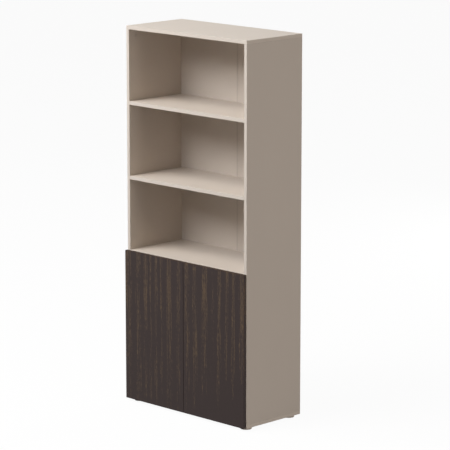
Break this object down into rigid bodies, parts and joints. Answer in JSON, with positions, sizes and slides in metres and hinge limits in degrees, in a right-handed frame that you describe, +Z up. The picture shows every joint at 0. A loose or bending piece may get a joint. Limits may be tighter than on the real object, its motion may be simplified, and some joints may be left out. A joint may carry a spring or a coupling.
{
  "type": "bookcase with cabinet doors",
  "caption": "Tall free-standing bookcase with open bays above a cupboard whose dark wood-grain doors open on concealed hinges with push latches.",
  "frame": {"origin": "on the floor, under the centre of the closed bookcase's overall box", "axes": "+X across the front to the right, +Y from the front to the rear, +Z up"},
  "size_m": [0.85, 0.41, 1.952],
  "materials": {
    "carcass_board": "satin warm grey-beige laminate on particle board",
    "door_board": "matt dark wood-grain laminate",
    "back_board": "lacquered thin fibreboard, warm grey-beige",
    "joint_profile": "warm grey-beige plastic",
    "foot_plastic": "moulded warm grey-beige plastic",
    "dowel_wood": "bare beech",
    "zinc_fittings": "die-cast zinc",
    "steel_fittings": "nickel-plated steel",
    "latch_plastic": "grey moulded plastic",
    "plunger_plastic": "dark grey moulded plastic"
  },
  "bodies": {
    "carcass": {"back_joint_profile": "joint_profile", "back_panel_left": "back_board", "back_panel_right": "back_board", "bottom_panel": "carcass_board", "cam_bolts_bottom": "steel_fittings", "cam_bolts_shelf": "steel_fittings", "cam_bolts_top": "steel_fittings", "cam_cover_caps": "joint_profile", "cam_locks_bottom": "zinc_fittings", "cam_locks_shelf": "zinc_fittings", "cam_locks_top": "zinc_fittings", "dowels_bottom": "dowel_wood", "dowels_shelf": "dowel_wood", "dowels_top": "dowel_wood", "fixed_shelf": "carcass_board", "foot_front_left": "foot_plastic", "foot_front_right": "foot_plastic", "foot_rear_left": "foot_plastic", "foot_rear_right": "foot_plastic", "foot_screws": "steel_fittings", "hinge_arm_left_lower": "steel_fittings", "hinge_arm_left_upper": "steel_fittings", "hinge_arm_right_lower": "steel_fittings", "hinge_arm_right_upper": "steel_fittings", "hinge_arm_screws": "steel_fittings", "hinge_link_pins": "steel_fittings", "hinge_plate_left_lower": "steel_fittings", "hinge_plate_left_upper": "steel_fittings", "hinge_plate_right_lower": "steel_fittings", "hinge_plate_right_upper": "steel_fittings", "hinge_plate_screws": "steel_fittings", "latch_housing_left": "latch_plastic", "latch_housing_right": "latch_plastic", "latch_screws": "steel_fittings", "shelf_inner": "carcass_board", "shelf_middle": "carcass_board", "shelf_pins_inner": "steel_fittings", "shelf_pins_middle": "steel_fittings", "shelf_pins_upper": "steel_fittings", "shelf_upper": "carcass_board", "side_panel_left": "carcass_board", "side_panel_right": "carcass_board", "top_panel": "carcass_board"},
    "door_left": {"door_left": "door_board", "door_strike_left": "steel_fittings", "hinge_cup_left_lower": "steel_fittings", "hinge_cup_left_upper": "steel_fittings", "hinge_cup_screws_left": "steel_fittings"},
    "door_right": {"door_right": "door_board", "door_strike_right": "steel_fittings", "hinge_cup_right_lower": "steel_fittings", "hinge_cup_right_upper": "steel_fittings", "hinge_cup_screws_right": "steel_fittings"},
    "link_left_lower": {"hinge_link_left_lower": "steel_fittings"},
    "link_left_upper": {"hinge_link_left_upper": "steel_fittings"},
    "link_right_lower": {"hinge_link_right_lower": "steel_fittings"},
    "link_right_upper": {"hinge_link_right_upper": "steel_fittings"},
    "plunger_left": {"latch_plunger_left": "plunger_plastic"},
    "plunger_right": {"latch_plunger_right": "plunger_plastic"}
  },
  "joints": [
    {"name": "door_left_hinge", "type": "hinge", "parent": "carcass", "child": "door_left", "pos_m": [-0.4195, -0.198, 0.40725], "axis": [0, 0, -1], "range_deg": [0, 100]},
    {"name": "door_right_hinge", "type": "hinge", "parent": "carcass", "child": "door_right", "pos_m": [0.4195, -0.198, 0.40725], "axis": [0, 0, 1], "range_deg": [0, 100]},
    {"name": "link_left_lower_pivot", "type": "hinge", "parent": "carcass", "child": "link_left_lower", "pos_m": [-0.38375, -0.1831, 0.117], "axis": [0, 0, -1], "range_deg": [-23, 0]},
    {"name": "link_left_upper_pivot", "type": "hinge", "parent": "carcass", "child": "link_left_upper", "pos_m": [-0.38375, -0.1831, 0.6975], "axis": [0, 0, -1], "range_deg": [-23, 0]},
    {"name": "latch_left_plunger_slide", "type": "slide", "parent": "carcass", "child": "plunger_left", "axis": [0, -1, 0], "range_m": [0, 0.014]},
    {"name": "link_right_lower_pivot", "type": "hinge", "parent": "carcass", "child": "link_right_lower", "pos_m": [0.38375, -0.1831, 0.117], "axis": [0, 0, 1], "range_deg": [-23, 0]},
    {"name": "link_right_upper_pivot", "type": "hinge", "parent": "carcass", "child": "link_right_upper", "pos_m": [0.38375, -0.1831, 0.6975], "axis": [0, 0, 1], "range_deg": [-23, 0]},
    {"name": "latch_right_plunger_slide", "type": "slide", "parent": "carcass", "child": "plunger_right", "axis": [0, -1, 0], "range_m": [0, 0.014]}
  ],
  "couplings": [
    {"joint": "link_left_lower_pivot", "follows": "door_left_hinge", "ratio": -0.228},
    {"joint": "link_left_upper_pivot", "follows": "door_left_hinge", "ratio": -0.228},
    {"joint": "latch_left_plunger_slide", "follows": "door_left_hinge", "m_per_rad": 0.00802},
    {"joint": "link_right_lower_pivot", "follows": "door_right_hinge", "ratio": -0.228},
    {"joint": "link_right_upper_pivot", "follows": "door_right_hinge", "ratio": -0.228},
    {"joint": "latch_right_plunger_slide", "follows": "door_right_hinge", "m_per_rad": 0.00802}
  ]
}
